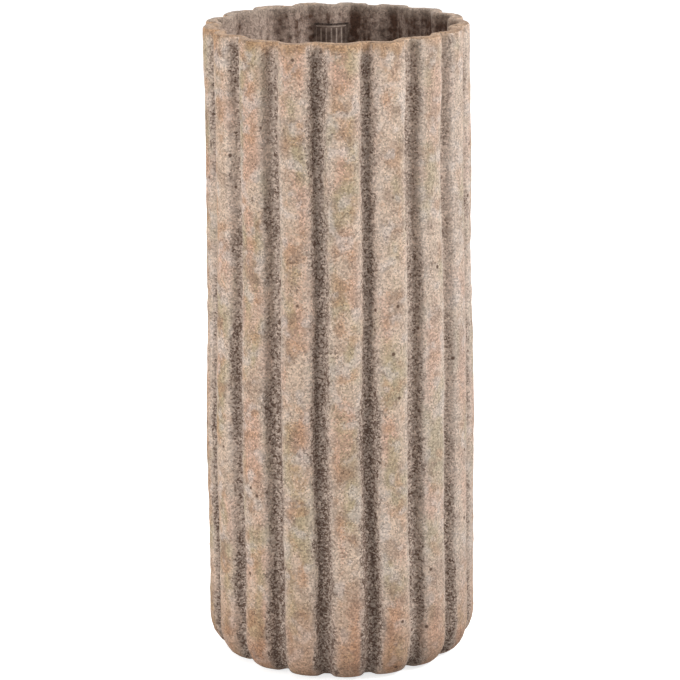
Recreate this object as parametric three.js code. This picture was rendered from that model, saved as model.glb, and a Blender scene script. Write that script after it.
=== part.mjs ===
// A tall ribbed floor pot in weathered cement, in millimetres, +Z up.
// The origin is on the floor under the middle of the pot, and a rib crest faces the front, -Y.
// The ribbed wall is moulded first. Its foot turns in to a ledge, the floor slab is poured on that ledge,
// and a bead of mortar seals the corner. A rubber plug closes the drain hole, felt pads keep the foot
// off the floor, and a blank paper label sticks to the back of the wall, inside the mouth.

import * as THREE from "three";

// Wall
const RIB_COUNT = 17;
const WALL_HEIGHT = 738; // underside of the foot to the rim
const RIM_RADIUS = 150; // to a rib crest, at the rim
const FOOT_FLARE = 9; // how much wider the outside is at its foot, so that the mould lifts off
const RIB_DEPTH = 14; // rib crest to groove, outside
const GROOVE_FILLET = 3; // round at the bottom of a groove, outside
const GROOVE_WALL = 10; // thickness of the wall behind a groove, at the rim
const HOLLOW_DEPTH = 12; // depth of the flute inside, behind each rib
const HOLLOW_FILLET = 18; // round of the ridge between two flutes, inside
const RIM_ROUND = 4.5; // both edges of the rim
const RIM_ROUND_LIMIT = 0.45; // most of the wall behind a groove that one round may take
const FOOT_ROUND = 28; // outer edge of the foot, inwards
const FOOT_RISE = 40; // the same round, upwards
const FOOT_RIB_DEPTH = 7; // what is left of a rib's depth where the foot turns under

// Foot, floor slab and the mortar between slab and wall
const FOOT_FLAT = 30; // least width of the flat ring that the foot stands on
const LEDGE_THICKNESS = 14;
const SLAB_THICKNESS = 20;
const COVE_SIZE = 12; // height and width of the mortar bead
const COVE_HOLLOW = 0.35; // share of its size that the middle of the bead's face keeps
const JOINT_GAP = 0.3; // between pieces that are set into each other

// Drain hole and plug
const DRAIN_RADIUS = 16; // at the top of the slab
const DRAIN_TAPER = 1.5; // how much narrower the hole is under the slab
const PLUG_NOSE = 4; // how far the plug reaches below the slab
const PLUG_LIP = 7; // how far its flange covers the slab round the hole
const PLUG_FLANGE = 5; // thickness of the flange
const NECK_RADIUS = 5.5; // of the waist between flange and grip
const NECK_HEIGHT = 6;
const GRIP_FLARE = 3; // height over which the neck widens to the grip
const GRIP_RADIUS = 8;
const GRIP_HEIGHT = 7;
const PLUG_EDGE = 1.2; // chamfer on the plug's edges
const PLUG_SIDES = 36;

// Floor pads
const PAD_COUNT = 4;
const PAD_RADIUS = 10;
const PAD_THICKNESS = 2.5;
const PAD_SIDES = 24;

// Label
const LABEL_WIDTH = 40;
const LABEL_HEIGHT = 30;
const LABEL_THICKNESS = 0.4;
const LABEL_DROP = 22; // rim to the label's top edge

// Directions seen from above, and how finely the ribs and rounds are cut into facets
const FRONT = -Math.PI / 2;
const BACK = Math.PI / 2;
const HALF_PITCH = Math.PI / RIB_COUNT;
const CREST_TO_GROOVE = [0, 0.28, 0.52, 0.72, 0.86, 1]; // shares of half a rib's pitch
const RIM_STEPS = 2;
const FOOT_STEPS = 4;

// Heights above the floor
const FOOT_Z = PAD_THICKNESS;
const LEDGE_Z = FOOT_Z + LEDGE_THICKNESS;
const FLOOR_Z = LEDGE_Z + SLAB_THICKNESS;
const RIM_Z = FOOT_Z + WALL_HEIGHT;

// Radius of the hole inside the foot ring, under the slab
const LEDGE_BORE = RIM_RADIUS + FOOT_FLARE - FOOT_ROUND - FOOT_RIB_DEPTH - FOOT_FLAT;

// Outlines. A ribbed one has round crests with a small fillet in each groove, and a round one has no depth.
function roundOutline(radius) {
  return { crest: radius, depth: 0, fillet: radius };
}

function outerOutline(z, inset = 0, depth = RIB_DEPTH) {
  const crest = RIM_RADIUS + (FOOT_FLARE * (RIM_Z - z)) / WALL_HEIGHT - inset;
  return { crest, depth, fillet: GROOVE_FILLET };
}

// The inside is straight, so that the core can be drawn up out of it.
function innerOutline(inset = 0) {
  const crest = RIM_RADIUS - RIB_DEPTH - GROOVE_WALL + HOLLOW_DEPTH - inset;
  return { crest, depth: HOLLOW_DEPTH, fillet: HOLLOW_FILLET };
}

// Radius of an outline at an angle. The rib's arc and the groove's arc touch on the line between their
// centres.
function outlineRadius(angle, { crest, depth, fillet }) {
  const turn = angle - FRONT;
  const fromCrest = Math.abs(turn - 2 * HALF_PITCH * Math.round(turn / (2 * HALF_PITCH)));
  const filletCentre = crest - depth + fillet;
  const along = filletCentre * Math.cos(HALF_PITCH);
  const across = filletCentre * Math.sin(HALF_PITCH);
  const rib =
    (crest ** 2 + filletCentre ** 2 - 2 * crest * along - fillet ** 2) / (2 * (crest - along + fillet));
  const ribCentre = crest - rib;
  const share = rib / (rib + fillet);
  const touch = Math.atan2(across * share, ribCentre + (along - ribCentre) * share);
  if (fromCrest <= touch) {
    return ribCentre * Math.cos(fromCrest) + Math.sqrt(rib ** 2 - (ribCentre * Math.sin(fromCrest)) ** 2);
  }
  const fromGroove = HALF_PITCH - fromCrest;
  return (
    filletCentre * Math.cos(fromGroove) -
    Math.sqrt(fillet ** 2 - (filletCentre * Math.sin(fromGroove)) ** 2)
  );
}

// The angles at which every ring is cut, the same for all, so that crests and grooves line up.
function ringAngles() {
  const down = CREST_TO_GROOVE;
  const up = CREST_TO_GROOVE.slice(1, -1).reverse();
  const shares = [...down, ...up.map((share) => 2 - share)];
  const angles = [];
  for (let rib = 0; rib < RIB_COUNT; rib++) {
    for (const share of shares) {
      angles.push(FRONT + HALF_PITCH * (2 * rib + share));
    }
  }
  return angles;
}

// A ring of material. Its section is a closed run of levels, each an outline at a height, which goes up the
// outside and down the inside.
function ringOfLevels(levels) {
  const angles = ringAngles();
  const count = angles.length;
  const positions = [];
  for (const { z, outline } of levels) {
    for (const angle of angles) {
      const radius = outlineRadius(angle, outline);
      positions.push(radius * Math.cos(angle), radius * Math.sin(angle), z);
    }
  }
  const faces = [];
  for (let level = 0; level < levels.length; level++) {
    const here = level * count;
    const next = ((level + 1) % levels.length) * count;
    for (let i = 0; i < count; i++) {
      const j = (i + 1) % count;
      faces.push(here + i, here + j, next + j);
      faces.push(here + i, next + j, next + i);
    }
  }
  const geometry = new THREE.BufferGeometry();
  geometry.setAttribute("position", new THREE.Float32BufferAttribute(positions, 3));
  geometry.setIndex(faces);
  geometry.computeVertexNormals();
  return geometry;
}

// A quarter round as steps of a turn from 0 to a right angle, each giving its sine and cosine.
function quarterRound(steps) {
  return Array.from({ length: steps + 1 }, (_, i) => {
    const turn = (i / steps) * (Math.PI / 2);
    return { sin: Math.sin(turn), cos: Math.cos(turn) };
  });
}

function wallGeometry() {
  const rimRound = Math.min(RIM_ROUND, RIM_ROUND_LIMIT * GROOVE_WALL);
  const levels = [];
  for (const { sin, cos } of quarterRound(FOOT_STEPS)) {
    const z = FOOT_Z + FOOT_RISE * (1 - cos);
    const depth = FOOT_RIB_DEPTH + (RIB_DEPTH - FOOT_RIB_DEPTH) * sin;
    levels.push({ z, outline: outerOutline(z, FOOT_ROUND * (1 - sin), depth) });
  }
  for (const { sin, cos } of quarterRound(RIM_STEPS)) {
    const z = RIM_Z - rimRound * (1 - sin);
    levels.push({ z, outline: outerOutline(z, rimRound * (1 - cos)) });
  }
  for (const { sin, cos } of quarterRound(RIM_STEPS)) {
    const z = RIM_Z - rimRound * (1 - cos);
    levels.push({ z, outline: innerOutline(-rimRound * (1 - sin)) });
  }
  levels.push({ z: LEDGE_Z, outline: innerOutline() });
  levels.push({ z: LEDGE_Z, outline: roundOutline(LEDGE_BORE) });
  levels.push({ z: FOOT_Z, outline: roundOutline(LEDGE_BORE) });
  return ringOfLevels(levels);
}

// The slab fills the wall from side to side, so its edge follows the flutes inside.
function slabGeometry() {
  return ringOfLevels([
    { z: LEDGE_Z, outline: innerOutline(JOINT_GAP) },
    { z: FLOOR_Z, outline: innerOutline(JOINT_GAP) },
    { z: FLOOR_Z, outline: roundOutline(DRAIN_RADIUS) },
    { z: LEDGE_Z, outline: roundOutline(DRAIN_RADIUS - DRAIN_TAPER) },
  ]);
}

function coveGeometry() {
  const middle = COVE_SIZE * COVE_HOLLOW;
  return ringOfLevels([
    { z: FLOOR_Z, outline: innerOutline(JOINT_GAP) },
    { z: FLOOR_Z + COVE_SIZE, outline: innerOutline(JOINT_GAP) },
    { z: FLOOR_Z + middle, outline: innerOutline(JOINT_GAP + middle) },
    { z: FLOOR_Z, outline: innerOutline(JOINT_GAP + COVE_SIZE) },
  ]);
}

// The plug is turned: a tapered stem in the hole, a flange on the slab, and a waisted grip.
function plugGeometry() {
  const slope = DRAIN_TAPER / SLAB_THICKNESS;
  const stemTop = DRAIN_RADIUS - JOINT_GAP;
  const noseZ = LEDGE_Z - PLUG_NOSE;
  const noseRadius = stemTop - slope * (FLOOR_Z - noseZ);
  const flangeRadius = DRAIN_RADIUS + PLUG_LIP;
  const flangeZ = FLOOR_Z + JOINT_GAP;
  const flangeTop = flangeZ + PLUG_FLANGE;
  const neckTop = flangeTop + NECK_HEIGHT;
  const gripTop = neckTop + GRIP_FLARE + GRIP_HEIGHT;
  const profile = [
    [0, noseZ],
    [noseRadius - PLUG_EDGE, noseZ],
    [noseRadius - slope * PLUG_EDGE, noseZ + PLUG_EDGE],
    [stemTop, flangeZ],
    [flangeRadius, flangeZ],
    [flangeRadius, flangeTop - PLUG_EDGE],
    [flangeRadius - PLUG_EDGE, flangeTop],
    [NECK_RADIUS + PLUG_EDGE, flangeTop],
    [NECK_RADIUS, flangeTop + PLUG_EDGE],
    [NECK_RADIUS, neckTop],
    [GRIP_RADIUS, neckTop + GRIP_FLARE],
    [GRIP_RADIUS, gripTop - 2 * PLUG_EDGE],
    [GRIP_RADIUS - 2 * PLUG_EDGE, gripTop],
    [0, gripTop],
  ];
  const points = profile.map(([radius, z]) => new THREE.Vector2(radius, z));
  return new THREE.LatheGeometry(points, PLUG_SIDES).rotateX(Math.PI / 2);
}

function padGeometry() {
  return new THREE.CylinderGeometry(PAD_RADIUS, PAD_RADIUS, PAD_THICKNESS, PAD_SIDES).rotateX(Math.PI / 2);
}

// Radius at an angle of the straight facet between the two ring angles beside it.
function facetRadius(angle, outline) {
  const angles = ringAngles();
  const next = angles.findIndex((ringAngle) => ringAngle > angle);
  const [start, end] = [angles[next - 1], angles[next]];
  const startRadius = outlineRadius(start, outline);
  const endRadius = outlineRadius(end, outline);
  return (
    (startRadius * endRadius * Math.sin(end - start)) /
    (startRadius * Math.sin(angle - start) + endRadius * Math.sin(end - angle))
  );
}

// The label bends with the wall that it sticks to, facet by facet.
function labelGeometry() {
  const outline = innerOutline(JOINT_GAP);
  const reach = LABEL_WIDTH / 2 / outline.crest;
  const between = ringAngles().filter((angle) => Math.abs(angle - BACK) < reach);
  const face = [];
  const back = [];
  for (const angle of [BACK - reach, ...between, BACK + reach]) {
    const direction = new THREE.Vector2(Math.cos(angle), Math.sin(angle));
    const radius = facetRadius(angle, outline);
    back.push(direction.clone().multiplyScalar(radius));
    face.push(direction.clone().multiplyScalar(radius - LABEL_THICKNESS));
  }
  const sheet = new THREE.Shape([...back, ...face.reverse()]);
  return new THREE.ExtrudeGeometry(sheet, { depth: LABEL_HEIGHT, bevelEnabled: false });
}

const weatheredCement = new THREE.MeshStandardMaterial({ color: 0xae9680, roughness: 0.95, metalness: 0 });
const plainCement = new THREE.MeshStandardMaterial({ color: 0x7d7067, roughness: 0.95, metalness: 0 });
const blackRubber = new THREE.MeshStandardMaterial({ color: 0x262423, roughness: 0.6, metalness: 0 });
const greyFelt = new THREE.MeshStandardMaterial({ color: 0x5d564f, roughness: 1, metalness: 0 });
const paper = new THREE.MeshStandardMaterial({ color: 0x8d8378, roughness: 0.85, metalness: 0 });

const pot = new THREE.Group();

function addPiece(name, geometry, material) {
  const piece = new THREE.Mesh(geometry, material);
  piece.name = name;
  pot.add(piece);
  return piece;
}

addPiece("pot_wall", wallGeometry(), weatheredCement);
addPiece("base_slab", slabGeometry(), plainCement);
addPiece("floor_cove", coveGeometry(), plainCement);
addPiece("drain_plug", plugGeometry(), blackRubber);

// The pads sit in the middle of the foot's flat ring, evenly spaced.
const padCircle = LEDGE_BORE + FOOT_FLAT / 2;
for (let i = 0; i < PAD_COUNT; i++) {
  const angle = ((i + 0.5) / PAD_COUNT) * 2 * Math.PI;
  const pad = addPiece(`floor_pad_${i + 1}`, padGeometry(), greyFelt);
  pad.position.set(padCircle * Math.cos(angle), padCircle * Math.sin(angle), PAD_THICKNESS / 2);
}

const label = addPiece("stock_label", labelGeometry(), paper);
label.position.z = RIM_Z - LABEL_DROP - LABEL_HEIGHT;

export default pot;
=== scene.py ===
import math

import bmesh
import bpy
from mathutils import Matrix, Vector


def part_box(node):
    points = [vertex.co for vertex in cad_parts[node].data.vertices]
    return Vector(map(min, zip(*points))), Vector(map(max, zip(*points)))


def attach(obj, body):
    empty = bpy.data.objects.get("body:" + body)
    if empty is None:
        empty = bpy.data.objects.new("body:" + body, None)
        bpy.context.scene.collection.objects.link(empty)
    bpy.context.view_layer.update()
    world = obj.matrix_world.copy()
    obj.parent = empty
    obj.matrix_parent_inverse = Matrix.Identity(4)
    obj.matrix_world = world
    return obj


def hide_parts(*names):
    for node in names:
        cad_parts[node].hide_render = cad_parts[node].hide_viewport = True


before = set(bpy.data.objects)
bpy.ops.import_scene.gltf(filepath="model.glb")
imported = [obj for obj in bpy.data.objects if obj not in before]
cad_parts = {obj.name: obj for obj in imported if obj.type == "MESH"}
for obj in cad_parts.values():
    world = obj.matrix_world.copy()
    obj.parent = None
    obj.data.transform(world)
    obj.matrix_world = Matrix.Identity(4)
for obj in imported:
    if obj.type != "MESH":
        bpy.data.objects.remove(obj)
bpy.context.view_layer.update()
bpy.ops.object.select_all(action="DESELECT")


# Pot wall
# One casting of cement coloured like fired clay, laid up thin in a ribbed mould, so that each rib is a
# flute inside, with a foot that turns in to a ledge. It was worn back by hand, so no rib is quite even.
MM = 0.001
RIBS = 17
POINTS_PER_RIB = 36
RIM_RADIUS = 150 * MM
FOOT_FLARE = 9 * MM
RIB_DEPTH = 14 * MM
RIB_SAG = 0.5  # share of a rib's depth that its rounded top takes
FLANK_START = 0.56  # shares of half a rib's pitch, between which its steep flank falls
FLANK_END = 0.86
GROOVE_WALL = 10 * MM
FLUTE_DEPTH = 12 * MM
RIM_FLUTE_DEPTH = 8.5 * MM
MOUTH_EASE = 2.5 * MM
FLUTE_RUN = 60 * MM  # from the rim to where the flutes have their full depth
RIM_ROUND = 3.5 * MM
FOOT_ROUND = 28 * MM
FOOT_RISE = 40 * MM
FOOT_RIB_DEPTH = 11 * MM
FOOT_FLAT = 37 * MM  # from the foot's rounding in to the bore of its ledge
LEDGE_THICKNESS = 14 * MM
RIM_STEPS = 5
FOOT_STEPS = 8
OUTER_ROWS = 145
INNER_ROWS = 30
FLUTE_RUN_ROWS = 6
SEAM_MERGE = 0.01 * MM
FOOT_WEAR = 12 * MM
INSIDE_WEAR_START = 60 * MM
INSIDE_WEAR_FADE = 120 * MM
OVER_RIM = RIM_ROUND / 4

foot_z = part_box("pot_wall")[0].z
rim_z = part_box("pot_wall")[1].z
ledge_z = foot_z + LEDGE_THICKNESS
ledge_bore = RIM_RADIUS + FOOT_FLARE - FOOT_ROUND - FOOT_FLAT
half_pitch = math.pi / RIBS
half_height = (rim_z - foot_z) / 2


def rib_drop(share):
    """How much of its depth a rib has lost at a share of half its pitch: it sags, then falls steeply."""
    flank = min(1, max(0, (share - FLANK_START) / (FLANK_END - FLANK_START)))
    return RIB_SAG * min(1, share / FLANK_END) ** 2 + (1 - RIB_SAG) * flank**2 * (3 - 2 * flank)


def flute_drop(share):
    """The same for the flutes inside, which wave evenly."""
    return (1 - math.cos(math.pi * share)) / 2


def outline_radius(share, crest, depth, drop):
    """Radius of an outline at a share of half a rib's pitch, from the crest at 0 to the groove at 1."""
    return crest - depth * drop(share)


def plain(radius):
    """A round outline: crest radius, depth and shape."""
    return radius, 0, rib_drop


def outer(z, inset=0.0):
    """The outside's outline at a height: flared downwards, and turned in and shallower at the foot."""
    turned = min(1, max(0, (z - foot_z) / FOOT_RISE))
    sine = math.sqrt(1 - (1 - turned) ** 2)
    flare = FOOT_FLARE * (rim_z - z) / (rim_z - foot_z)
    crest = RIM_RADIUS + flare - FOOT_ROUND * (1 - sine) - inset
    return crest, FOOT_RIB_DEPTH + (RIB_DEPTH - FOOT_RIB_DEPTH) * sine, rib_drop


def inner(inset=0.0, depth=FLUTE_DEPTH):
    """The inside's outline. Its ridges are straight, and its flutes have a given depth."""
    return RIM_RADIUS - RIB_DEPTH - GROOVE_WALL + depth - inset, depth, flute_drop


def steps_from_crest(place):
    """How many ring points lie between a place and the nearest rib crest."""
    turn = math.atan2(place.x, -place.y) / (2 * half_pitch) * POINTS_PER_RIB
    step = round(turn) % POINTS_PER_RIB
    return min(step, POINTS_PER_RIB - step)


def radius_beside(place, outline):
    """An outline's radius in the direction of a place."""
    return outline_radius(2 * steps_from_crest(place) / POINTS_PER_RIB, *outline)


def shape_ring(outline):
    """Resizes the selected ring to an outline, one set of like points at a time."""
    mesh = bmesh.from_edit_mesh(bpy.context.object.data)
    ring = [v for v in mesh.verts if v.select]
    for step in range(POINTS_PER_RIB // 2 + 1):
        for v in ring:
            v.select_set(steps_from_crest(v.co) == step)
        mesh.select_flush_mode()
        now = next(v.co.xy.length for v in ring if v.select)
        factor = outline_radius(2 * step / POINTS_PER_RIB, *outline) / now
        bpy.ops.transform.resize(value=(factor, factor, 1), center_override=(0, 0, 0))
    for v in ring:
        v.select_set(True)
    mesh.select_flush_mode()


def first_ring(name, z, outline):
    """Starts a piece as a ring of points at a height, shaped to an outline."""
    bpy.ops.mesh.primitive_circle_add(vertices=RIBS * POINTS_PER_RIB, radius=outline[0], location=(0, 0, z))
    piece = bpy.context.object
    piece.name = name
    bpy.ops.object.transform_apply()
    bpy.ops.object.mode_set(mode="EDIT")
    bpy.ops.mesh.select_mode(type="VERT")
    shape_ring(outline)
    return piece


def next_ring(z, outline):
    """Extrudes the selected ring to a height and shapes it to an outline."""
    mesh = bmesh.from_edit_mesh(bpy.context.object.data)
    here = next(v.co.z for v in mesh.verts if v.select)
    bpy.ops.mesh.extrude_edges_move(TRANSFORM_OT_translate={"value": (0, 0, z - here)})
    shape_ring(outline)


def close_rings():
    """Joins the last ring to the first, turns the faces outwards and leaves edit mode."""
    bpy.ops.mesh.select_all(action="SELECT")
    bpy.ops.mesh.remove_doubles(threshold=SEAM_MERGE)
    bpy.ops.mesh.normals_make_consistent(inside=False)
    bpy.ops.object.mode_set(mode="OBJECT")


def quarter_round(steps):
    """Sine and cosine at even steps from 0 to a right angle."""
    turns = [i / steps * math.pi / 2 for i in range(steps + 1)]
    return [(math.sin(t), math.cos(t)) for t in turns]


def cut_rows(is_picked, rows):
    """Cuts each edge that a test of its two ends picks into rows."""
    bpy.ops.object.mode_set(mode="EDIT")
    bpy.ops.mesh.select_all(action="DESELECT")
    mesh = bmesh.from_edit_mesh(bpy.context.object.data)
    for edge in mesh.edges:
        edge.select_set(is_picked(edge.verts[0].co, edge.verts[1].co))
    bpy.ops.mesh.subdivide(number_cuts=rows - 1)
    bpy.ops.object.mode_set(mode="OBJECT")


def weigh(name, weight):
    """Adds a vertex group to the active piece, weighted by a rule of the vertex's place."""
    piece = bpy.context.object
    group = piece.vertex_groups.new(name=name)
    for v in piece.data.vertices:
        group.add([v.index], weight(v.co), "REPLACE")


def roughen(name, size, height, depth, group, direction="NORMAL"):
    """Pushes a group of the active piece to and fro along a direction, by clouds of a given size."""
    clouds = bpy.data.textures.new(name, "CLOUDS")
    clouds.noise_scale = size
    clouds.noise_depth = depth
    bpy.ops.object.modifier_add(type="DISPLACE")
    modifier = bpy.context.object.modifiers[-1]
    modifier.texture = clouds
    modifier.texture_coords = "LOCAL"
    modifier.direction = direction
    modifier.mid_level = 0.5
    modifier.strength = height
    modifier.vertex_group = group
    bpy.ops.object.modifier_apply(modifier=modifier.name)


def is_outside(place):
    """Whether a point lies on the wall's outer half. Below the ledge there is no inside."""
    middle = (radius_beside(place, outer(place.z)) + radius_beside(place, inner())) / 2
    return place.z < ledge_z - MM or place.xy.length > middle


def is_tall_outside(a, b):
    """Whether an edge runs up the outside, from the foot to the rim."""
    return abs(a.z - b.z) > half_height and is_outside(a)


def is_tall_inside(a, b):
    """Whether an edge runs up the inside, from the ledge to where the flutes flatten."""
    return abs(a.z - b.z) > half_height and not is_outside(a)


def is_flute_run(a, b):
    """Whether an edge lies where the flutes flatten towards the mouth."""
    return math.isclose(abs(a.z - b.z), FLUTE_RUN - RIM_ROUND, abs_tol=MM)


def weathered_share(place):
    """How far wear reaches: the outside down to the foot's flat, and the inside down to near the floor."""
    above = place.z - foot_z
    if is_outside(place):
        return min(1, above / FOOT_WEAR)
    return max(0, min(1, (above - INSIDE_WEAR_START) / INSIDE_WEAR_FADE))


wall = first_ring("ribbed_wall", foot_z, plain(ledge_bore))
for _, cosine in quarter_round(FOOT_STEPS):
    z = foot_z + FOOT_RISE * (1 - cosine)
    next_ring(z, outer(z))
for sine, cosine in quarter_round(RIM_STEPS):
    z = rim_z - RIM_ROUND * (1 - sine)
    next_ring(z, outer(z, RIM_ROUND * (1 - cosine)))
for sine, cosine in quarter_round(RIM_STEPS):
    inset = -MOUTH_EASE - RIM_ROUND * (1 - sine)
    next_ring(rim_z - RIM_ROUND * (1 - cosine), inner(inset, RIM_FLUTE_DEPTH))
next_ring(rim_z - FLUTE_RUN, inner())
next_ring(ledge_z, inner())
next_ring(ledge_z, plain(ledge_bore))
next_ring(foot_z, plain(ledge_bore))
close_rings()
cut_rows(is_tall_outside, OUTER_ROWS)
cut_rows(is_tall_inside, INNER_ROWS)
cut_rows(is_flute_run, FLUTE_RUN_ROWS)

# Two marks for the material: the inside, from just over the rim, and the way from a crest to a groove.
inside_mark = wall.data.attributes.new("inside", "FLOAT", "POINT")
groove_mark = wall.data.attributes.new("groove", "FLOAT", "POINT")
for v in wall.data.vertices:
    groove_mark.data[v.index].value = 2 * steps_from_crest(v.co) / POINTS_PER_RIB
    skin = radius_beside(v.co, outer(v.co.z, OVER_RIM))
    inside_mark.data[v.index].value = v.co.z > ledge_z - MM and v.co.xy.length < skin

weigh("weathered", weathered_share)
for direction, size in (("X", 160 * MM), ("Y", 190 * MM)):
    roughen("wandering ribs", size, height=4.5 * MM, depth=0, group="weathered", direction=direction)
roughen("uneven mould", size=110 * MM, height=2.2 * MM, depth=1, group="weathered")
roughen("worn lumps", size=18 * MM, height=1.8 * MM, depth=2, group="weathered")
roughen("coarse grit", size=6 * MM, height=0.7 * MM, depth=1, group="weathered")
bpy.ops.object.shade_smooth()


def linear(code):
    """An sRGB hex colour as linear red, green, blue and alpha."""
    parts = [int(code[i : i + 2], 16) / 255 for i in (1, 3, 5)]
    return [c / 12.92 if c <= 0.04045 else ((c + 0.055) / 1.055) ** 2.4 for c in parts] + [1.0]


def new_material(name):
    """An empty node material and its tree."""
    material = bpy.data.materials.new(name)
    material.use_nodes = True
    material.node_tree.nodes.clear()
    return material, material.node_tree


def add_node(tree, kind, inputs=None, **settings):
    """Adds a node with its settings, and links or sets its inputs. A node gives its first live output."""
    node = tree.nodes.new("ShaderNode" + kind)
    for key, value in settings.items():
        setattr(node, key, value)
    for key, value in (inputs or {}).items():
        live = [s for s in node.inputs if s.enabled]
        socket = live[key] if isinstance(key, int) else next(s for s in live if s.name == key)
        if isinstance(value, bpy.types.Node):
            value = next(s for s in value.outputs if s.enabled)
        if isinstance(value, bpy.types.NodeSocket):
            tree.links.new(value, socket)
        else:
            socket.default_value = value
    return node


# Weathered cement: a clay-coloured cast, sanded back and rubbed with a dark wash. The wash stays in the
# grooves and between the grains, and the high ground is a sandy tan with soft patches of peach, olive,
# ochre and grey.
cement, tree = new_material("weathered_cement")
place = add_node(tree, "TexCoord").outputs["Object"]
sideways, backwards, upwards = add_node(tree, "SeparateXYZ", {"Vector": place}).outputs

# From 0 on a rib's crest to 1 in a groove, and how far a point lies below the rim, above the foot and
# from the right side.
across = add_node(tree, "Attribute", attribute_name="groove").outputs["Fac"]
drop = add_node(tree, "Math", {0: rim_z, 1: upwards}, operation="SUBTRACT")
rise = add_node(tree, "Math", {0: upwards, 1: foot_z}, operation="SUBTRACT")
from_right = add_node(tree, "Math", {0: RIM_RADIUS, 1: sideways}, operation="SUBTRACT")

# Clouds of noise, by the size of one cloud in millimetres.
tall = add_node(tree, "Mapping", {"Vector": place, "Scale": (1, 1, 0.45)})
drawn_out = add_node(tree, "Mapping", {"Vector": place, "Scale": (1, 1, 0.15)})
clouds = {}
for name, size, detail, where in (
    ("sand", 2.9, 1, place),
    ("clusters", 7, 1, place),
    ("mottle", 15, 1, place),
    ("ragged", 10, 2, tall),
    ("breaks", 44, 2, tall),
    ("peach", 40, 1, tall),
    ("olive", 30, 1, tall),
    ("ochre", 27, 1, place),
    ("dusk", 30, 1, place),
    ("bloom", 20, 1, place),
    ("streaks", 13, 4, drawn_out),
):
    clouds[name] = add_node(
        tree, "TexNoise", {"Vector": where, "Scale": 1 / (size * MM), "Detail": detail, "Roughness": 0.6}
    )

# How far a point lies below the bare rim, whose edge is uneven.
lip = drop
for name, depth in (("ragged", 30 * MM), ("breaks", 50 * MM)):
    centred = add_node(tree, "Math", {0: clouds[name], 1: 0.5}, operation="SUBTRACT")
    lip = add_node(tree, "Math", {0: centred, 1: depth, 2: lip}, operation="MULTIPLY_ADD")

# Grains of sand, each with three chances of its own from 0 to 1. They are drawn about four times as
# coarse as they are, so that they show.
grains = add_node(tree, "TexVoronoi", {"Vector": place, "Scale": 1 / (1.8 * MM)})
holding, shade, hue = add_node(tree, "SeparateColor", {"Color": grains.outputs["Color"]}).outputs

# High ground: each tone lies over the last where its cloud is dense, grain by grain.
GRAIN_SPREAD = 0.1
tone = linear("#eacfb8")
for name, colour, start, end, strength in (
    ("peach", "#e6b499", 0.52, 0.68, 0.6),
    ("olive", "#c8b692", 0.52, 0.68, 0.75),
    ("ochre", "#d3a37e", 0.57, 0.72, 0.55),
    ("dusk", "#b4957f", 0.54, 0.72, 0.55),
    ("bloom", "#efe0d6", 0.57, 0.74, 0.55),
):
    spread = add_node(tree, "Math", {0: hue, 1: GRAIN_SPREAD, 2: clouds[name]}, operation="MULTIPLY_ADD")
    cover = add_node(
        tree,
        "MapRange",
        {"Value": spread, "From Min": start, "From Max": end, "To Max": strength},
        interpolation_type="SMOOTHSTEP",
    )
    tone = add_node(tree, "Mix", {"Factor": cover, "A": tone, "B": linear(colour)}, data_type="RGBA")

# The pale shoulders of the ribs, where the wash was wiped off, and the bare ochre rim. Then painted light
# and
# shade: the right side painted paler, as lit by the lamp at the right, and a painted shade, darker and
# browner, that deepens towards the foot.
shoulder = add_node(tree, "MapRange", {"Value": across, "From Min": 0.3, "From Max": 0.6, "To Max": 0.4})
tone = add_node(tree, "Mix", {"Factor": shoulder, "A": tone, "B": linear("#f0dfd2")}, data_type="RGBA")
for distance, reach, colour, strength in (
    (lip, 16 * MM, "#c69b72", 0.75),
    (from_right, 140 * MM, "#d2c7bf", 0.34),
    (rise, 150 * MM, "#b67c52", 0.48),
):
    cover = add_node(
        tree,
        "MapRange",
        {"Value": distance, "From Min": 0.0, "From Max": reach, "To Min": strength, "To Max": 0.0},
        interpolation_type="SMOOTHSTEP",
    )
    tone = add_node(tree, "Mix", {"Factor": cover, "A": tone, "B": linear(colour)}, data_type="RGBA")

# The wash: full in the grooves with a ragged edge, thin at the rim and gone under the foot. Painted shade
# makes it wider and darker towards the foot, and painted light makes it thinner on the right, where the
# lamp at the right falls. On the crests only a few grains hold it, and in the grooves some grains show pale.
# Painted shade: the wash grows wider and darker towards the foot.
foot_painted_shade = add_node(tree, "MapRange", {"Value": rise, "From Max": 500 * MM, "To Min": 0.21, "To Max": -0.07})
edge = add_node(tree, "Math", {0: foot_painted_shade, 1: 0.4, 2: across}, operation="MULTIPLY_ADD")
for name, weight in (("ragged", 0.45), ("breaks", 0.65)):
    edge = add_node(tree, "Math", {0: clouds[name], 1: weight, 2: edge}, operation="MULTIPLY_ADD")
wash = add_node(
    tree,
    "MapRange",
    {"Value": edge, "From Min": 1.08, "From Max": 1.36},
    interpolation_type="SMOOTHSTEP",
)
for distance, start, end in ((lip, 2 * MM, 22 * MM), (rise, 0.5 * MM, 8 * MM)):
    reach = add_node(
        tree,
        "MapRange",
        {"Value": distance, "From Min": start, "From Max": end},
        interpolation_type="SMOOTHSTEP",
    )
    wash = add_node(tree, "Math", {0: wash, 1: reach}, operation="MULTIPLY")
level = add_node(tree, "MapRange", {"Value": wash, "To Min": -0.12, "To Max": 0.46})
level = add_node(tree, "Math", {0: wash, 1: foot_painted_shade, 2: level}, operation="MULTIPLY_ADD")
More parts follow.
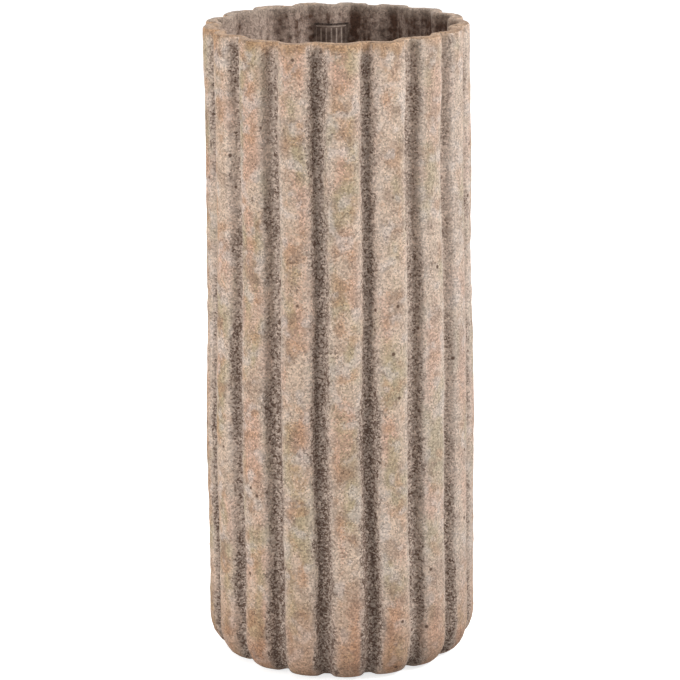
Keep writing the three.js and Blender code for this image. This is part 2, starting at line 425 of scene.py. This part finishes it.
# Painted light: less wash on the right side, so the right side is lighter.
right_painted_light = add_node(tree, "MapRange", {"Value": sideways, "From Max": 110 * MM, "To Max": 0.24})
level = add_node(tree, "Math", {0: level, 1: right_painted_light}, operation="SUBTRACT")
for source, weight in (
    (holding, 1.0),
    (clouds["clusters"], 0.5),
    (clouds["mottle"], 0.6),
    (clouds["breaks"], 0.65),
):
    centred = add_node(tree, "Math", {0: source, 1: 0.5}, operation="SUBTRACT")
    level = add_node(tree, "Math", {0: centred, 1: weight, 2: level}, operation="MULTIPLY_ADD")
dark = add_node(tree, "MapRange", {"Value": level, "From Min": 0.08, "From Max": 0.85, "To Max": 0.92})

# A few pits where air was trapped in the mould.
PIT_SPACING = 34 * MM
PIT_RADIUS = 1.6 * MM
PIT_BLUR = 1.2 * MM
pits = add_node(tree, "TexVoronoi", {"Vector": place, "Scale": 1 / PIT_SPACING})
pit = add_node(
    tree,
    "MapRange",
    {
        "Value": pits,
        "From Min": PIT_RADIUS / PIT_SPACING,
        "From Max": (PIT_RADIUS + PIT_BLUR) / PIT_SPACING,
        "To Min": 0.9,
        "To Max": 0.0,
    },
)
dark = add_node(tree, "Math", {0: dark, 1: pit}, operation="MAXIMUM")

# Each grain is a little lighter or darker than the next, and those that show in the wash are pale.
sandy = add_node(
    tree, "Mix", {"Factor": shade, "A": linear("#b8b8b8"), "B": linear("#ffffff")}, data_type="RGBA"
)
tone = add_node(tree, "Mix", {"Factor": wash, "A": tone, "B": linear("#ddc8b8")}, data_type="RGBA")
tone = add_node(tree, "Mix", {"Factor": 1.0, "A": tone, "B": sandy}, data_type="RGBA", blend_type="MULTIPLY")
tone = add_node(tree, "Mix", {"Factor": dark, "A": tone, "B": linear("#574135")}, data_type="RGBA")

# Inside and over the rim, the wash was poured on and ran down: dark, with paler streaks. Over that is
# painted light and shade: paler on the left, where the lamp at the right falls, and darker on the right.
# The top of the rim is worn bare again, tan at the front and greyer at the back.
inside = add_node(tree, "Attribute", attribute_name="inside").outputs["Fac"]
reach = add_node(tree, "Math", {0: clouds["ragged"], 1: 12 * MM, 2: drop}, operation="MULTIPLY_ADD")
soaked = add_node(
    tree,
    "MapRange",
    {"Value": reach, "From Min": 0.0, "From Max": 7 * MM},
    interpolation_type="SMOOTHSTEP",
)
soaked = add_node(tree, "Math", {0: soaked, 1: inside}, operation="MULTIPLY")
# Painted light and shade: the inside grows paler to the left and darker to the right.
streaks_and_painted_light = add_node(tree, "Math", {0: sideways, 1: -0.9, 2: clouds["streaks"]}, operation="MULTIPLY_ADD")
streaks_and_painted_light = add_node(tree, "Math", {0: clouds["clusters"], 1: 0.6, 2: streaks_and_painted_light}, operation="MULTIPLY_ADD")
streaks_and_painted_light = add_node(tree, "Math", {0: across, 1: 0.2, 2: streaks_and_painted_light}, operation="MULTIPLY_ADD")
pale_streaks_and_light = add_node(tree, "MapRange", {"Value": streaks_and_painted_light, "From Min": 0.72, "From Max": 1.09})
inside_tone = add_node(
    tree, "Mix", {"Factor": pale_streaks_and_light, "A": linear("#60473a"), "B": linear("#c6afa0")}, data_type="RGBA"
)
worn = add_node(
    tree,
    "MapRange",
    {"Value": reach, "From Min": 4 * MM, "From Max": 20 * MM, "To Min": 0.9, "To Max": 0.0},
)
back = add_node(tree, "MapRange", {"Value": backwards, "From Min": -60 * MM, "From Max": 60 * MM})
bare = add_node(
    tree, "Mix", {"Factor": back, "A": linear("#b5967a"), "B": linear("#ab9a8b")}, data_type="RGBA"
)
inside_tone = add_node(tree, "Mix", {"Factor": worn, "A": inside_tone, "B": bare}, data_type="RGBA")
inside_tone = add_node(
    tree, "Mix", {"Factor": 1.0, "A": inside_tone, "B": sandy}, data_type="RGBA", blend_type="MULTIPLY"
)
tone = add_node(tree, "Mix", {"Factor": soaked, "A": tone, "B": inside_tone}, data_type="RGBA")

rough = add_node(tree, "MapRange", {"Value": shade, "To Min": 0.82, "To Max": 1.0})
height = add_node(tree, "Math", {0: dark, 1: -0.3, 2: clouds["sand"]}, operation="MULTIPLY_ADD")
bumps = add_node(tree, "Bump", {"Strength": 0.6, "Distance": 1.2 * MM, "Height": height})
surface = add_node(
    tree,
    "BsdfPrincipled",
    {"Base Color": tone, "Roughness": rough, "Normal": bumps, "Specular IOR Level": 0.25},
)
add_node(tree, "OutputMaterial", {"Surface": surface})
wall.data.materials.append(cement)
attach(wall, "pot")
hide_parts("pot_wall")


# Floor slab
# The floor of the pot, of plain cement poured on the foot's ledge with a plug of wood in the middle for
# the drain hole, and struck off by hand with a small trowel.
DRAIN_RADIUS = 16 * MM
DRAIN_TAPER = 1.5 * MM
JOINT_GAP = 0.3 * MM
SLAB_ROWS = 40
COVE_SIZE = 12 * MM
PLUG_LIP = 7 * MM
DRAIN_EASE = 15 * MM
COVE_EASE = 8 * MM
floor_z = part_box("base_slab")[1].z


def is_across_floor(a, b):
    """Whether an edge runs over the floor, from the drain to the wall."""
    return min(a.z, b.z) > floor_z - MM and abs(a.xy.length - b.xy.length) > DRAIN_RADIUS


def trowelled_share(place):
    """How uneven the floor is: flat round the drain and under the mortar, and level below."""
    if place.z < floor_z - MM:
        return 0
    from_drain = place.xy.length - DRAIN_RADIUS - PLUG_LIP
    from_mortar = radius_beside(place, inner(JOINT_GAP + COVE_SIZE)) - place.xy.length
    return max(0, min(1, from_drain / DRAIN_EASE, from_mortar / COVE_EASE))


slab = first_ring("floor_slab", ledge_z, plain(DRAIN_RADIUS - DRAIN_TAPER))
next_ring(floor_z, plain(DRAIN_RADIUS))
next_ring(floor_z, inner(JOINT_GAP))
next_ring(ledge_z, inner(JOINT_GAP))
next_ring(ledge_z, plain(DRAIN_RADIUS - DRAIN_TAPER))
close_rings()
cut_rows(is_across_floor, SLAB_ROWS)
weigh("trowelled", trowelled_share)
roughen("trowel strokes", size=38 * MM, height=2 * MM, depth=0, group="trowelled")
roughen("floor sand", size=7 * MM, height=0.7 * MM, depth=1, group="trowelled")
bpy.ops.object.shade_smooth_by_angle(angle=math.radians(40))

# Trowelled cement: grey-brown and sandy, with damp clouds, arcs from the trowel's edge and a pale ring of
# lime where water has stood round the drain. The sand is drawn about three times as coarse as it is.
WAVE_PERIOD = math.pi / 10  # of the wave texture at a scale of 1
ARC_SPACING = 44 * MM
ARC_SHIFT = (110 * MM, -60 * MM, 0)
floor_cement, tree = new_material("trowelled_cement")
place = add_node(tree, "TexCoord").outputs["Object"]
flat = add_node(tree, "Mapping", {"Vector": place, "Scale": (1, 1, 0)})
from_axis = add_node(tree, "VectorMath", {0: flat}, operation="LENGTH").outputs["Value"]
damp = add_node(tree, "TexNoise", {"Vector": place, "Scale": 1 / (45 * MM), "Detail": 3, "Roughness": 0.6})
dust = add_node(tree, "TexNoise", {"Vector": place, "Scale": 1 / (14 * MM), "Detail": 3, "Roughness": 0.65})
sand = add_node(tree, "TexVoronoi", {"Vector": place, "Scale": 1 / (1.6 * MM)})
grey = add_node(tree, "SeparateColor", {"Color": sand.outputs["Color"]})
off_centre = add_node(tree, "Mapping", {"Vector": place, "Location": ARC_SHIFT})
arcs = add_node(
    tree,
    "TexWave",
    {
        "Vector": off_centre,
        "Scale": WAVE_PERIOD / ARC_SPACING,
        "Distortion": 5.0,
        "Detail": 2.0,
        "Detail Scale": 1.5,
    },
    wave_type="RINGS",
    rings_direction="Z",
)
damp_share = add_node(tree, "MapRange", {"Value": damp, "From Min": 0.38, "From Max": 0.64})
tone = add_node(
    tree, "Mix", {"Factor": damp_share, "A": linear("#75685e"), "B": linear("#a0948a")}, data_type="RGBA"
)
ring = add_node(tree, "Math", {0: dust, 1: -70 * MM, 2: from_axis}, operation="MULTIPLY_ADD")
lime = add_node(
    tree,
    "MapRange",
    {"Value": ring, "From Min": 4 * MM, "From Max": 26 * MM, "To Min": 0.55, "To Max": 0.0},
    interpolation_type="SMOOTHSTEP",
)
tone = add_node(tree, "Mix", {"Factor": lime, "A": tone, "B": linear("#c3bab1")}, data_type="RGBA")
speck = add_node(
    tree, "Mix", {"Factor": grey, "A": linear("#b4b0ac"), "B": linear("#ffffff")}, data_type="RGBA"
)
tone = add_node(tree, "Mix", {"Factor": 1.0, "A": tone, "B": speck}, data_type="RGBA", blend_type="MULTIPLY")
rough = add_node(tree, "MapRange", {"Value": dust, "To Min": 0.78, "To Max": 1.0})
height = add_node(tree, "Math", {0: arcs, 1: 0.35, 2: dust}, operation="MULTIPLY_ADD")
bumps = add_node(tree, "Bump", {"Strength": 0.55, "Distance": 1.5 * MM, "Height": height})
surface = add_node(
    tree,
    "BsdfPrincipled",
    {"Base Color": tone, "Roughness": rough, "Normal": bumps, "Specular IOR Level": 0.25},
)
add_node(tree, "OutputMaterial", {"Surface": surface})
slab.data.materials.append(floor_cement)
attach(slab, "pot")
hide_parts("base_slab")


# Floor cove
# A bead of mortar that seals the corner between slab and wall. It was pressed in by hand and drawn round
# with a fingertip, which left its face hollow and lightly dented.
COVE_STEPS = 6
WALL_EASE = 3 * MM
SLAB_EASE = 1.5 * MM


def dented_share(place):
    """How far a fingertip's dents reach: the bead's open face, but not the slab or wall that it lies on."""
    from_wall = radius_beside(place, inner(JOINT_GAP)) - place.xy.length
    return max(0, min(1, from_wall / WALL_EASE, (place.z - floor_z) / SLAB_EASE))


cove = first_ring("mortar_cove", floor_z, inner(JOINT_GAP))
for sine, cosine in quarter_round(COVE_STEPS):
    next_ring(floor_z + COVE_SIZE * (1 - sine), inner(JOINT_GAP + COVE_SIZE * (1 - cosine)))
next_ring(floor_z, inner(JOINT_GAP))
close_rings()
weigh("dented", dented_share)
roughen("finger dents", size=14 * MM, height=1.6 * MM, depth=1, group="dented")
bpy.ops.object.shade_smooth_by_angle(angle=math.radians(40))

# Finger-smoothed mortar: a little paler and smoother than the slab, with sand standing out where it dried,
# drawn about three times as coarse as it is.
mortar, tree = new_material("finger_smoothed_mortar")
place = add_node(tree, "TexCoord").outputs["Object"]
smear = add_node(tree, "TexNoise", {"Vector": place, "Scale": 1 / (18 * MM), "Detail": 3, "Roughness": 0.6})
grit = add_node(tree, "TexNoise", {"Vector": place, "Scale": 1 / (1.8 * MM), "Detail": 2, "Roughness": 0.6})
smear_share = add_node(tree, "MapRange", {"Value": smear, "From Min": 0.36, "From Max": 0.66})
tone = add_node(
    tree, "Mix", {"Factor": smear_share, "A": linear("#83766b"), "B": linear("#afa398")}, data_type="RGBA"
)
grit_share = add_node(tree, "MapRange", {"Value": grit, "From Min": 0.4, "From Max": 0.6})
speck = add_node(
    tree, "Mix", {"Factor": grit_share, "A": linear("#bcb6b0"), "B": linear("#ffffff")}, data_type="RGBA"
)
tone = add_node(tree, "Mix", {"Factor": 1.0, "A": tone, "B": speck}, data_type="RGBA", blend_type="MULTIPLY")
rough = add_node(tree, "MapRange", {"Value": smear, "To Min": 0.75, "To Max": 1.0})
bumps = add_node(tree, "Bump", {"Strength": 0.5, "Distance": 0.8 * MM, "Height": grit})
surface = add_node(
    tree,
    "BsdfPrincipled",
    {"Base Color": tone, "Roughness": rough, "Normal": bumps, "Specular IOR Level": 0.25},
)
add_node(tree, "OutputMaterial", {"Surface": surface})
cove.data.materials.append(mortar)
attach(cove, "pot")
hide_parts("floor_cove")


# Drain plug
# A moulded rubber plug with a tapered stem in the drain hole, a flange that lies on the slab and a waisted
# grip to pull it by. It is only pushed in.
PLUG_FLANGE = 5 * MM
NECK_RADIUS = 5.5 * MM
NECK_HEIGHT = 6 * MM
GRIP_FLARE = 3 * MM
GRIP_RADIUS = 8 * MM
DIMPLE_RADIUS = 5 * MM
DIMPLE_DEPTH = 1.2 * MM
PLUG_EDGE = 1.1 * MM
PLUG_SIDES = 96

nose_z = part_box("drain_plug")[0].z
grip_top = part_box("drain_plug")[1].z
flange_z = floor_z + JOINT_GAP
flange_top = flange_z + PLUG_FLANGE
neck_top = flange_top + NECK_HEIGHT
stem_radius = DRAIN_RADIUS - JOINT_GAP
nose_radius = stem_radius - DRAIN_TAPER * (floor_z - nose_z) / (floor_z - ledge_z)
flange_radius = DRAIN_RADIUS + PLUG_LIP


def draw_out(z, radius):
    """Extrudes the selected end of a turned piece to a height and a radius."""
    mesh = bmesh.from_edit_mesh(bpy.context.object.data)
    corner = next(v.co for v in mesh.verts if v.select)
    factor = radius / corner.xy.length
    bpy.ops.mesh.extrude_region_move(TRANSFORM_OT_translate={"value": (0, 0, z - corner.z)})
    bpy.ops.transform.resize(value=(factor, factor, 1), center_override=(0, 0, 0))


bpy.ops.mesh.primitive_cone_add(
    vertices=PLUG_SIDES,
    radius1=nose_radius,
    radius2=stem_radius,
    depth=flange_z - nose_z,
    location=(0, 0, (flange_z + nose_z) / 2),
)
plug = bpy.context.object
plug.name = "rubber_plug"
bpy.ops.object.transform_apply()
bpy.ops.object.mode_set(mode="EDIT")
bpy.ops.mesh.select_mode(type="FACE")
bpy.ops.mesh.select_all(action="DESELECT")
mesh = bmesh.from_edit_mesh(plug.data)
for face in mesh.faces:
    face.select_set(face.normal.z > 0.9)
draw_out(flange_z, flange_radius)
draw_out(flange_top, flange_radius)
draw_out(flange_top, NECK_RADIUS)
draw_out(neck_top, NECK_RADIUS)
draw_out(neck_top + GRIP_FLARE, GRIP_RADIUS)
draw_out(grip_top, GRIP_RADIUS)
draw_out(grip_top, DIMPLE_RADIUS)
draw_out(grip_top - DIMPLE_DEPTH, DIMPLE_RADIUS - DIMPLE_DEPTH)
bpy.ops.object.mode_set(mode="OBJECT")
bpy.ops.object.modifier_add(type="BEVEL")
bevel = plug.modifiers[-1]
bevel.width = PLUG_EDGE
bevel.segments = 4
bevel.limit_method = "ANGLE"
bevel.angle_limit = math.radians(30)
bpy.ops.object.modifier_apply(modifier=bevel.name)
bpy.ops.object.shade_smooth_by_angle(angle=math.radians(35))

# Moulded rubber: near black with a soft grey bloom and cement dust on what faces up, and the fine grain of
# a spark-eroded mould, drawn twice as coarse as it is.
rubber, tree = new_material("moulded_rubber")
place = add_node(tree, "TexCoord").outputs["Object"]
normal = add_node(tree, "NewGeometry").outputs["Normal"]
facing = add_node(tree, "SeparateXYZ", {"Vector": normal}).outputs["Z"]
bloom = add_node(tree, "TexNoise", {"Vector": place, "Scale": 1 / (9 * MM), "Detail": 3, "Roughness": 0.6})
dust = add_node(tree, "TexNoise", {"Vector": place, "Scale": 1 / (2.2 * MM), "Detail": 3, "Roughness": 0.7})
grain = add_node(tree, "TexNoise", {"Vector": place, "Scale": 1 / (0.7 * MM), "Detail": 1})
bloom_share = add_node(tree, "MapRange", {"Value": bloom, "From Min": 0.35, "From Max": 0.7})
tone = add_node(
    tree, "Mix", {"Factor": bloom_share, "A": linear("#211f1e"), "B": linear("#343130")}, data_type="RGBA"
)
settled = add_node(tree, "MapRange", {"Value": dust, "From Min": 0.5, "From Max": 0.72, "To Max": 0.7})
upward = add_node(tree, "MapRange", {"Value": facing, "From Min": 0.3, "From Max": 0.95})
settled = add_node(tree, "Math", {0: settled, 1: upward}, operation="MULTIPLY")
tone = add_node(tree, "Mix", {"Factor": settled, "A": tone, "B": linear("#8f8479")}, data_type="RGBA")
rough = add_node(tree, "MapRange", {"Value": settled, "From Max": 0.7, "To Min": 0.52, "To Max": 0.9})
bumps = add_node(tree, "Bump", {"Strength": 0.2, "Distance": 0.3 * MM, "Height": grain})
surface = add_node(
    tree, "BsdfPrincipled", {"Base Color": tone, "Roughness": rough, "Normal": bumps, "IOR": 1.52}
)
add_node(tree, "OutputMaterial", {"Surface": surface})
plug.data.materials.append(rubber)
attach(plug, "plug")
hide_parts("drain_plug")


# Floor pads
# Four discs of pressed wool felt, punched from sheet and stuck under the foot's flat ring, to keep the
# cement from scratching a floor. Their cut edges have gone a little fuzzy.
PADS = 4
PAD_EDGE = 0.5 * MM
PAD_SIDES = 96
PAD_ROWS = 4

pad_low, pad_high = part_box("floor_pad_1")


def is_cut_edge(a, b):
    """Whether an edge runs up the pad's rim, between its two bevels."""
    return abs(a.z - b.z) > MM


def fuzzy_share(place):
    """How loose the fibres are: most halfway up the cut edge, and none where the pad is pressed flat."""
    above = (place.z - pad_low.z) / (pad_high.z - pad_low.z)
    return 4 * above * (1 - above)


bpy.ops.mesh.primitive_cylinder_add(
    vertices=PAD_SIDES,
    radius=(pad_high.x - pad_low.x) / 2,
    depth=pad_high.z - pad_low.z,
    location=(pad_low + pad_high) / 2,
)
first_pad = bpy.context.object
first_pad.name = "felt_pad_1"
bpy.ops.object.transform_apply()
bpy.ops.object.modifier_add(type="BEVEL")
bevel = first_pad.modifiers[-1]
bevel.width = PAD_EDGE
bevel.segments = 3
bevel.limit_method = "ANGLE"
bevel.angle_limit = math.radians(45)
bpy.ops.object.modifier_apply(modifier=bevel.name)
cut_rows(is_cut_edge, PAD_ROWS)
weigh("fuzzy", fuzzy_share)
roughen("loose fibres", size=1.2 * MM, height=0.9 * MM, depth=1, group="fuzzy")
bpy.ops.object.shade_smooth_by_angle(angle=math.radians(50))

# Pressed felt: flecked grey wool with no weave, whose fibres scatter light along its edge. The fibres are
# drawn ten times as coarse as they are.
felt, tree = new_material("pressed_wool_felt")
place = add_node(tree, "TexCoord").outputs["Object"]
combed = add_node(tree, "Mapping", {"Vector": place, "Scale": (1, 0.3, 1)})
fibres = add_node(
    tree, "TexNoise", {"Vector": combed, "Scale": 1 / (0.5 * MM), "Detail": 3, "Distortion": 2.0}
)
tufts = add_node(tree, "TexNoise", {"Vector": place, "Scale": 1 / (3 * MM), "Detail": 2})
fleck = add_node(tree, "MapRange", {"Value": fibres, "From Min": 0.35, "From Max": 0.65})
tone = add_node(
    tree, "Mix", {"Factor": fleck, "A": linear("#4a443e"), "B": linear("#756d65")}, data_type="RGBA"
)
wear = add_node(tree, "MapRange", {"Value": tufts, "From Min": 0.4, "From Max": 0.7, "To Max": 0.5})
tone = add_node(tree, "Mix", {"Factor": wear, "A": tone, "B": linear("#8a8178")}, data_type="RGBA")
rough = add_node(tree, "MapRange", {"Value": tufts, "To Min": 0.9, "To Max": 1.0})
bumps = add_node(tree, "Bump", {"Strength": 0.8, "Distance": 0.4 * MM, "Height": fibres})
surface = add_node(
    tree,
    "BsdfPrincipled",
    {
        "Base Color": tone,
        "Roughness": rough,
        "Normal": bumps,
        "Specular IOR Level": 0.2,
        "Sheen Weight": 0.4,
        "Sheen Roughness": 0.6,
    },
)
add_node(tree, "OutputMaterial", {"Surface": surface})
first_pad.data.materials.append(felt)

pads = [first_pad]
for i in range(2, PADS + 1):
    bpy.ops.object.select_all(action="DESELECT")
    bpy.context.view_layer.objects.active = first_pad
    first_pad.select_set(True)
    bpy.ops.object.duplicate()
    bpy.ops.transform.translate(value=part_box(f"floor_pad_{i}")[0] - pad_low)
    bpy.ops.object.transform_apply()
    pads.append(bpy.context.object)
    pads[-1].name = f"felt_pad_{i}"
for i, pad in enumerate(pads, start=1):
    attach(pad, "pot")
    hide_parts(f"floor_pad_{i}")


# Stock label
# A small paper label, stuck inside the mouth over the ridge between two flutes at the back. It has taken
# the wall's shape and some of the wash, and its print is a plain line over a row of even bars.
LABEL_CELLS = 48
LABEL_SHEET = 0.4 * MM
LABEL_LIFT = 0.8 * MM
LABEL_START = 8 * MM  # how far in front of its place the flat sheet starts

label_low, label_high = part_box("stock_label")
label_middle = (label_low + label_high) / 2
label_size = label_high - label_low
bpy.ops.mesh.primitive_grid_add(
    x_subdivisions=LABEL_CELLS,
    y_subdivisions=LABEL_CELLS,
    size=1,
    location=(0, label_low.y - LABEL_START, label_middle.z),
    rotation=(math.pi / 2, 0, 0),
)
label = bpy.context.object
label.name = "paper_label"
label.scale = (label_size.x, label_size.z, 1)
bpy.ops.object.transform_apply()
bpy.ops.object.modifier_add(type="SHRINKWRAP")
cling = label.modifiers[-1]
cling.target = wall
cling.wrap_method = "PROJECT"
cling.wrap_mode = "ABOVE_SURFACE"
cling.use_project_y = True
cling.offset = LABEL_LIFT
bpy.ops.object.modifier_apply(modifier=cling.name)
bpy.ops.object.modifier_add(type="SMOOTH")
ease = label.modifiers[-1]
ease.use_x = False
ease.use_z = False
ease.factor = 0.5
ease.iterations = 8
bpy.ops.object.modifier_apply(modifier=ease.name)
bpy.ops.object.modifier_add(type="SOLIDIFY")
sheet = label.modifiers[-1]
sheet.thickness = LABEL_SHEET
sheet.offset = -1
bpy.ops.object.modifier_apply(modifier=sheet.name)
bpy.ops.object.shade_smooth_by_angle(angle=math.radians(40))

# Label paper dyed dark brown by the wash, uncoated and stained by damp. It is black along the top edge,
# and below that its print is pale, where the ink kept the wash out: a thin line over even bars. It has worn
# thin.
BAR_PITCH = 6 * MM
BAR_WIDTH = 1.7 * MM
BAR_TOP = 5.4 * MM
BAR_END = 27 * MM
LINE_TOP = 2.7 * MM
LINE_END = 4.2 * MM
EDGE_END = 2.1 * MM
PRINT_FIELD = 17.5 * MM
paper, tree = new_material("aged_label_paper")
place = add_node(tree, "TexCoord").outputs["Object"]
sideways, _, upwards = add_node(tree, "SeparateXYZ", {"Vector": place}).outputs
from_middle = add_node(tree, "Math", {0: sideways}, operation="ABSOLUTE")
from_top = add_node(tree, "Math", {0: label_high.z, 1: upwards}, operation="SUBTRACT")
stain = add_node(tree, "TexNoise", {"Vector": place, "Scale": 1 / (9 * MM), "Detail": 3, "Roughness": 0.6})
worn = add_node(tree, "TexNoise", {"Vector": place, "Scale": 1 / (2 * MM), "Detail": 2, "Roughness": 0.6})
stain_share = add_node(tree, "MapRange", {"Value": stain, "From Min": 0.36, "From Max": 0.66})
tone = add_node(
    tree, "Mix", {"Factor": stain_share, "A": linear("#4c3d35"), "B": linear("#7d6b60")}, data_type="RGBA"
)
across_bar = add_node(tree, "Math", {0: sideways, 1: BAR_PITCH / 2}, operation="PINGPONG")
bars = add_node(tree, "Math", {0: across_bar, 1: BAR_WIDTH / 2}, operation="LESS_THAN")
field = add_node(tree, "Math", {0: from_middle, 1: PRINT_FIELD}, operation="LESS_THAN")
bands = []
for top, bottom in ((BAR_TOP, BAR_END), (LINE_TOP, LINE_END)):
    middle = (top + bottom) / 2
    half = (bottom - top) / 2
    bands.append(add_node(tree, "Math", {0: from_top, 1: middle, 2: half}, operation="COMPARE"))
bars = add_node(tree, "Math", {0: bars, 1: bands[0]}, operation="MULTIPLY")
pale = add_node(tree, "Math", {0: bars, 1: bands[1]}, operation="MAXIMUM")
pale = add_node(tree, "Math", {0: pale, 1: field}, operation="MULTIPLY")
# A black band along the top edge.
black_top_edge = add_node(tree, "Math", {0: from_top, 1: EDGE_END}, operation="LESS_THAN")
thin = add_node(
    tree, "MapRange", {"Value": worn, "From Min": 0.3, "From Max": 0.6, "To Min": 0.25, "To Max": 0.9}
)
for mark, colour in ((pale, "#b3a194"), (black_top_edge, "#231c19")):
    share = add_node(tree, "Math", {0: mark, 1: thin}, operation="MULTIPLY")
    tone = add_node(tree, "Mix", {"Factor": share, "A": tone, "B": linear(colour)}, data_type="RGBA")
rough = add_node(tree, "MapRange", {"Value": stain, "To Min": 0.75, "To Max": 0.95})
bumps = add_node(tree, "Bump", {"Strength": 0.3, "Distance": 0.3 * MM, "Height": worn})
surface = add_node(
    tree,
    "BsdfPrincipled",
    {"Base Color": tone, "Roughness": rough, "Normal": bumps, "Specular IOR Level": 0.3},
)
add_node(tree, "OutputMaterial", {"Surface": surface})
label.data.materials.append(paper)
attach(label, "pot")
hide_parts("stock_label")


# Studio
# A plain pale floor that runs out of sight, a white surround, large soft lamps at both sides, behind and
# above, and a long lens.
FLOOR_SIZE = 60
FLOOR_GAP = 0.2 * MM  # keeps the floor clear of the pads
bpy.ops.mesh.primitive_plane_add(size=FLOOR_SIZE, location=(0, 0, -FLOOR_GAP))
floor = bpy.context.object
floor.name = "studio_floor"

world = bpy.data.worlds.new("white_surround")
bpy.context.scene.world = world
world.use_nodes = True
world.node_tree.nodes.clear()
paint, paint_tree = new_material("white_floor_paint")
floor.data.materials.append(paint)

# Floor and surround look white in the picture, and in what mirrors or lets through light, and are dimmer as
# light on the pot.
SURROUND_STRENGTH = 0.5
shown = {}
for tree in (paint_tree, world.node_tree):
    path = add_node(tree, "LightPath").outputs
    shown[tree] = add_node(
        tree, "Math", {0: path["Is Camera Ray"], 1: path["Is Glossy Ray"]}, operation="MAXIMUM"
    )
    shown[tree] = add_node(
        tree, "Math", {0: shown[tree], 1: path["Is Transmission Ray"]}, operation="MAXIMUM"
    )

dull = add_node(paint_tree, "BsdfDiffuse", {"Color": linear("#9c9c9c")})
lit = add_node(paint_tree, "BsdfDiffuse", {"Color": linear("#e8e8e8")})
glow = add_node(paint_tree, "Emission", {"Color": linear("#ffffff"), "Strength": 0.72})
bright = add_node(paint_tree, "AddShader", {0: lit, 1: glow})
surface = add_node(paint_tree, "MixShader", {0: shown[paint_tree], 1: dull, 2: bright})
add_node(paint_tree, "OutputMaterial", {"Surface": surface})

tree = world.node_tree
strength = add_node(tree, "MapRange", {"Value": shown[tree], "To Min": SURROUND_STRENGTH, "To Max": 1.0})
sky = add_node(tree, "Background", {"Color": linear("#ffffff"), "Strength": strength})
add_node(tree, "OutputWorld", {"Surface": sky})

POT_MIDDLE = Vector((0, 0, 0.36))
LAMP_SIZE = 1.3
for name, spot, power in (
    ("key_softbox", (2.3, -0.95, 2.2), 75),
    ("fill_softbox", (-2.2, -1.4, 0.8), 37),
    ("back_softbox", (-0.8, 2.6, 1.7), 45),
    ("top_softbox", (0, 0, 3.4), 14),
):
    bpy.ops.object.light_add(type="AREA", location=spot)
    lamp = bpy.context.object
    lamp.name = name
    lamp.data.size = LAMP_SIZE
    lamp.data.energy = power
    lamp.rotation_euler = (POT_MIDDLE - lamp.location).to_track_quat("-Z", "Y").to_euler()

# The camera was fitted to the photograph's outline, rim and foot.
CAMERA_DISTANCE = 3.143
CAMERA_HEIGHT = 1.249
CAMERA_AZIMUTH = math.radians(-2.6)
CAMERA_PITCH = math.radians(15.69)
CAMERA_ROLL = math.radians(-0.53)
FOCAL_PIXELS = 2807
SHIFT_PIXELS = 0.8
FRAME_PIXELS = 680
SENSOR = 36.0
bpy.ops.object.camera_add()
camera = bpy.context.object
camera.data.sensor_width = SENSOR
camera.data.lens = SENSOR * FOCAL_PIXELS / FRAME_PIXELS
camera.data.shift_x = SHIFT_PIXELS / FRAME_PIXELS
turn = Matrix.Rotation(CAMERA_AZIMUTH, 4, "Z")
stand = Matrix.Translation((0, -CAMERA_DISTANCE, foot_z + CAMERA_HEIGHT))
tilt = Matrix.Rotation(math.pi / 2 - CAMERA_PITCH, 4, "X")
roll = Matrix.Rotation(CAMERA_ROLL, 4, "Z")
camera.matrix_world = turn @ stand @ tilt @ roll
bpy.context.scene.camera = camera
bpy.context.scene.view_settings.view_transform = "Standard"
